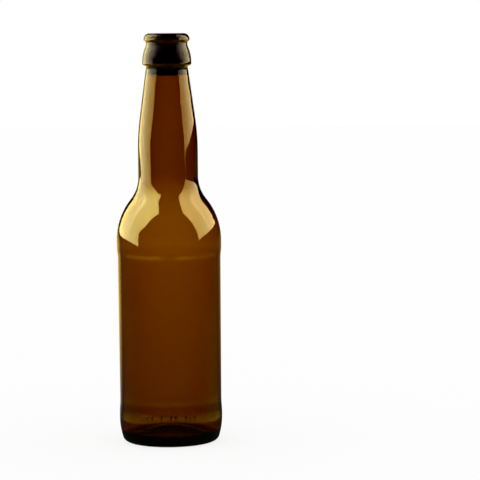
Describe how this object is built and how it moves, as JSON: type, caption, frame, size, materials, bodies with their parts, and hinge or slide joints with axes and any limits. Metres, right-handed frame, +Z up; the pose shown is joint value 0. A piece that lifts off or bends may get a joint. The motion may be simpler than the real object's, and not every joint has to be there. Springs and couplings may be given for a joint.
{
  "type": "beer bottle",
  "caption": "Empty long-neck bottle of brown glass with a round shoulder, a shallow recess for a label and a lip for a crown cap.",
  "frame": {"origin": "centre of the ring that the bottle stands on, on the bottle's axis, in the plane of the surface it stands on", "axes": "+Z up along the bottle's axis towards the mouth; -Y is the side with the row of raised code dots; +X to the right seen from that side"},
  "size_m": [0.0602, 0.0602, 0.236],
  "materials": {
    "brown_glass": "gloss"
  },
  "bodies": {
    "root": {"bottle": "brown_glass"}
  },
  "joints": []
}
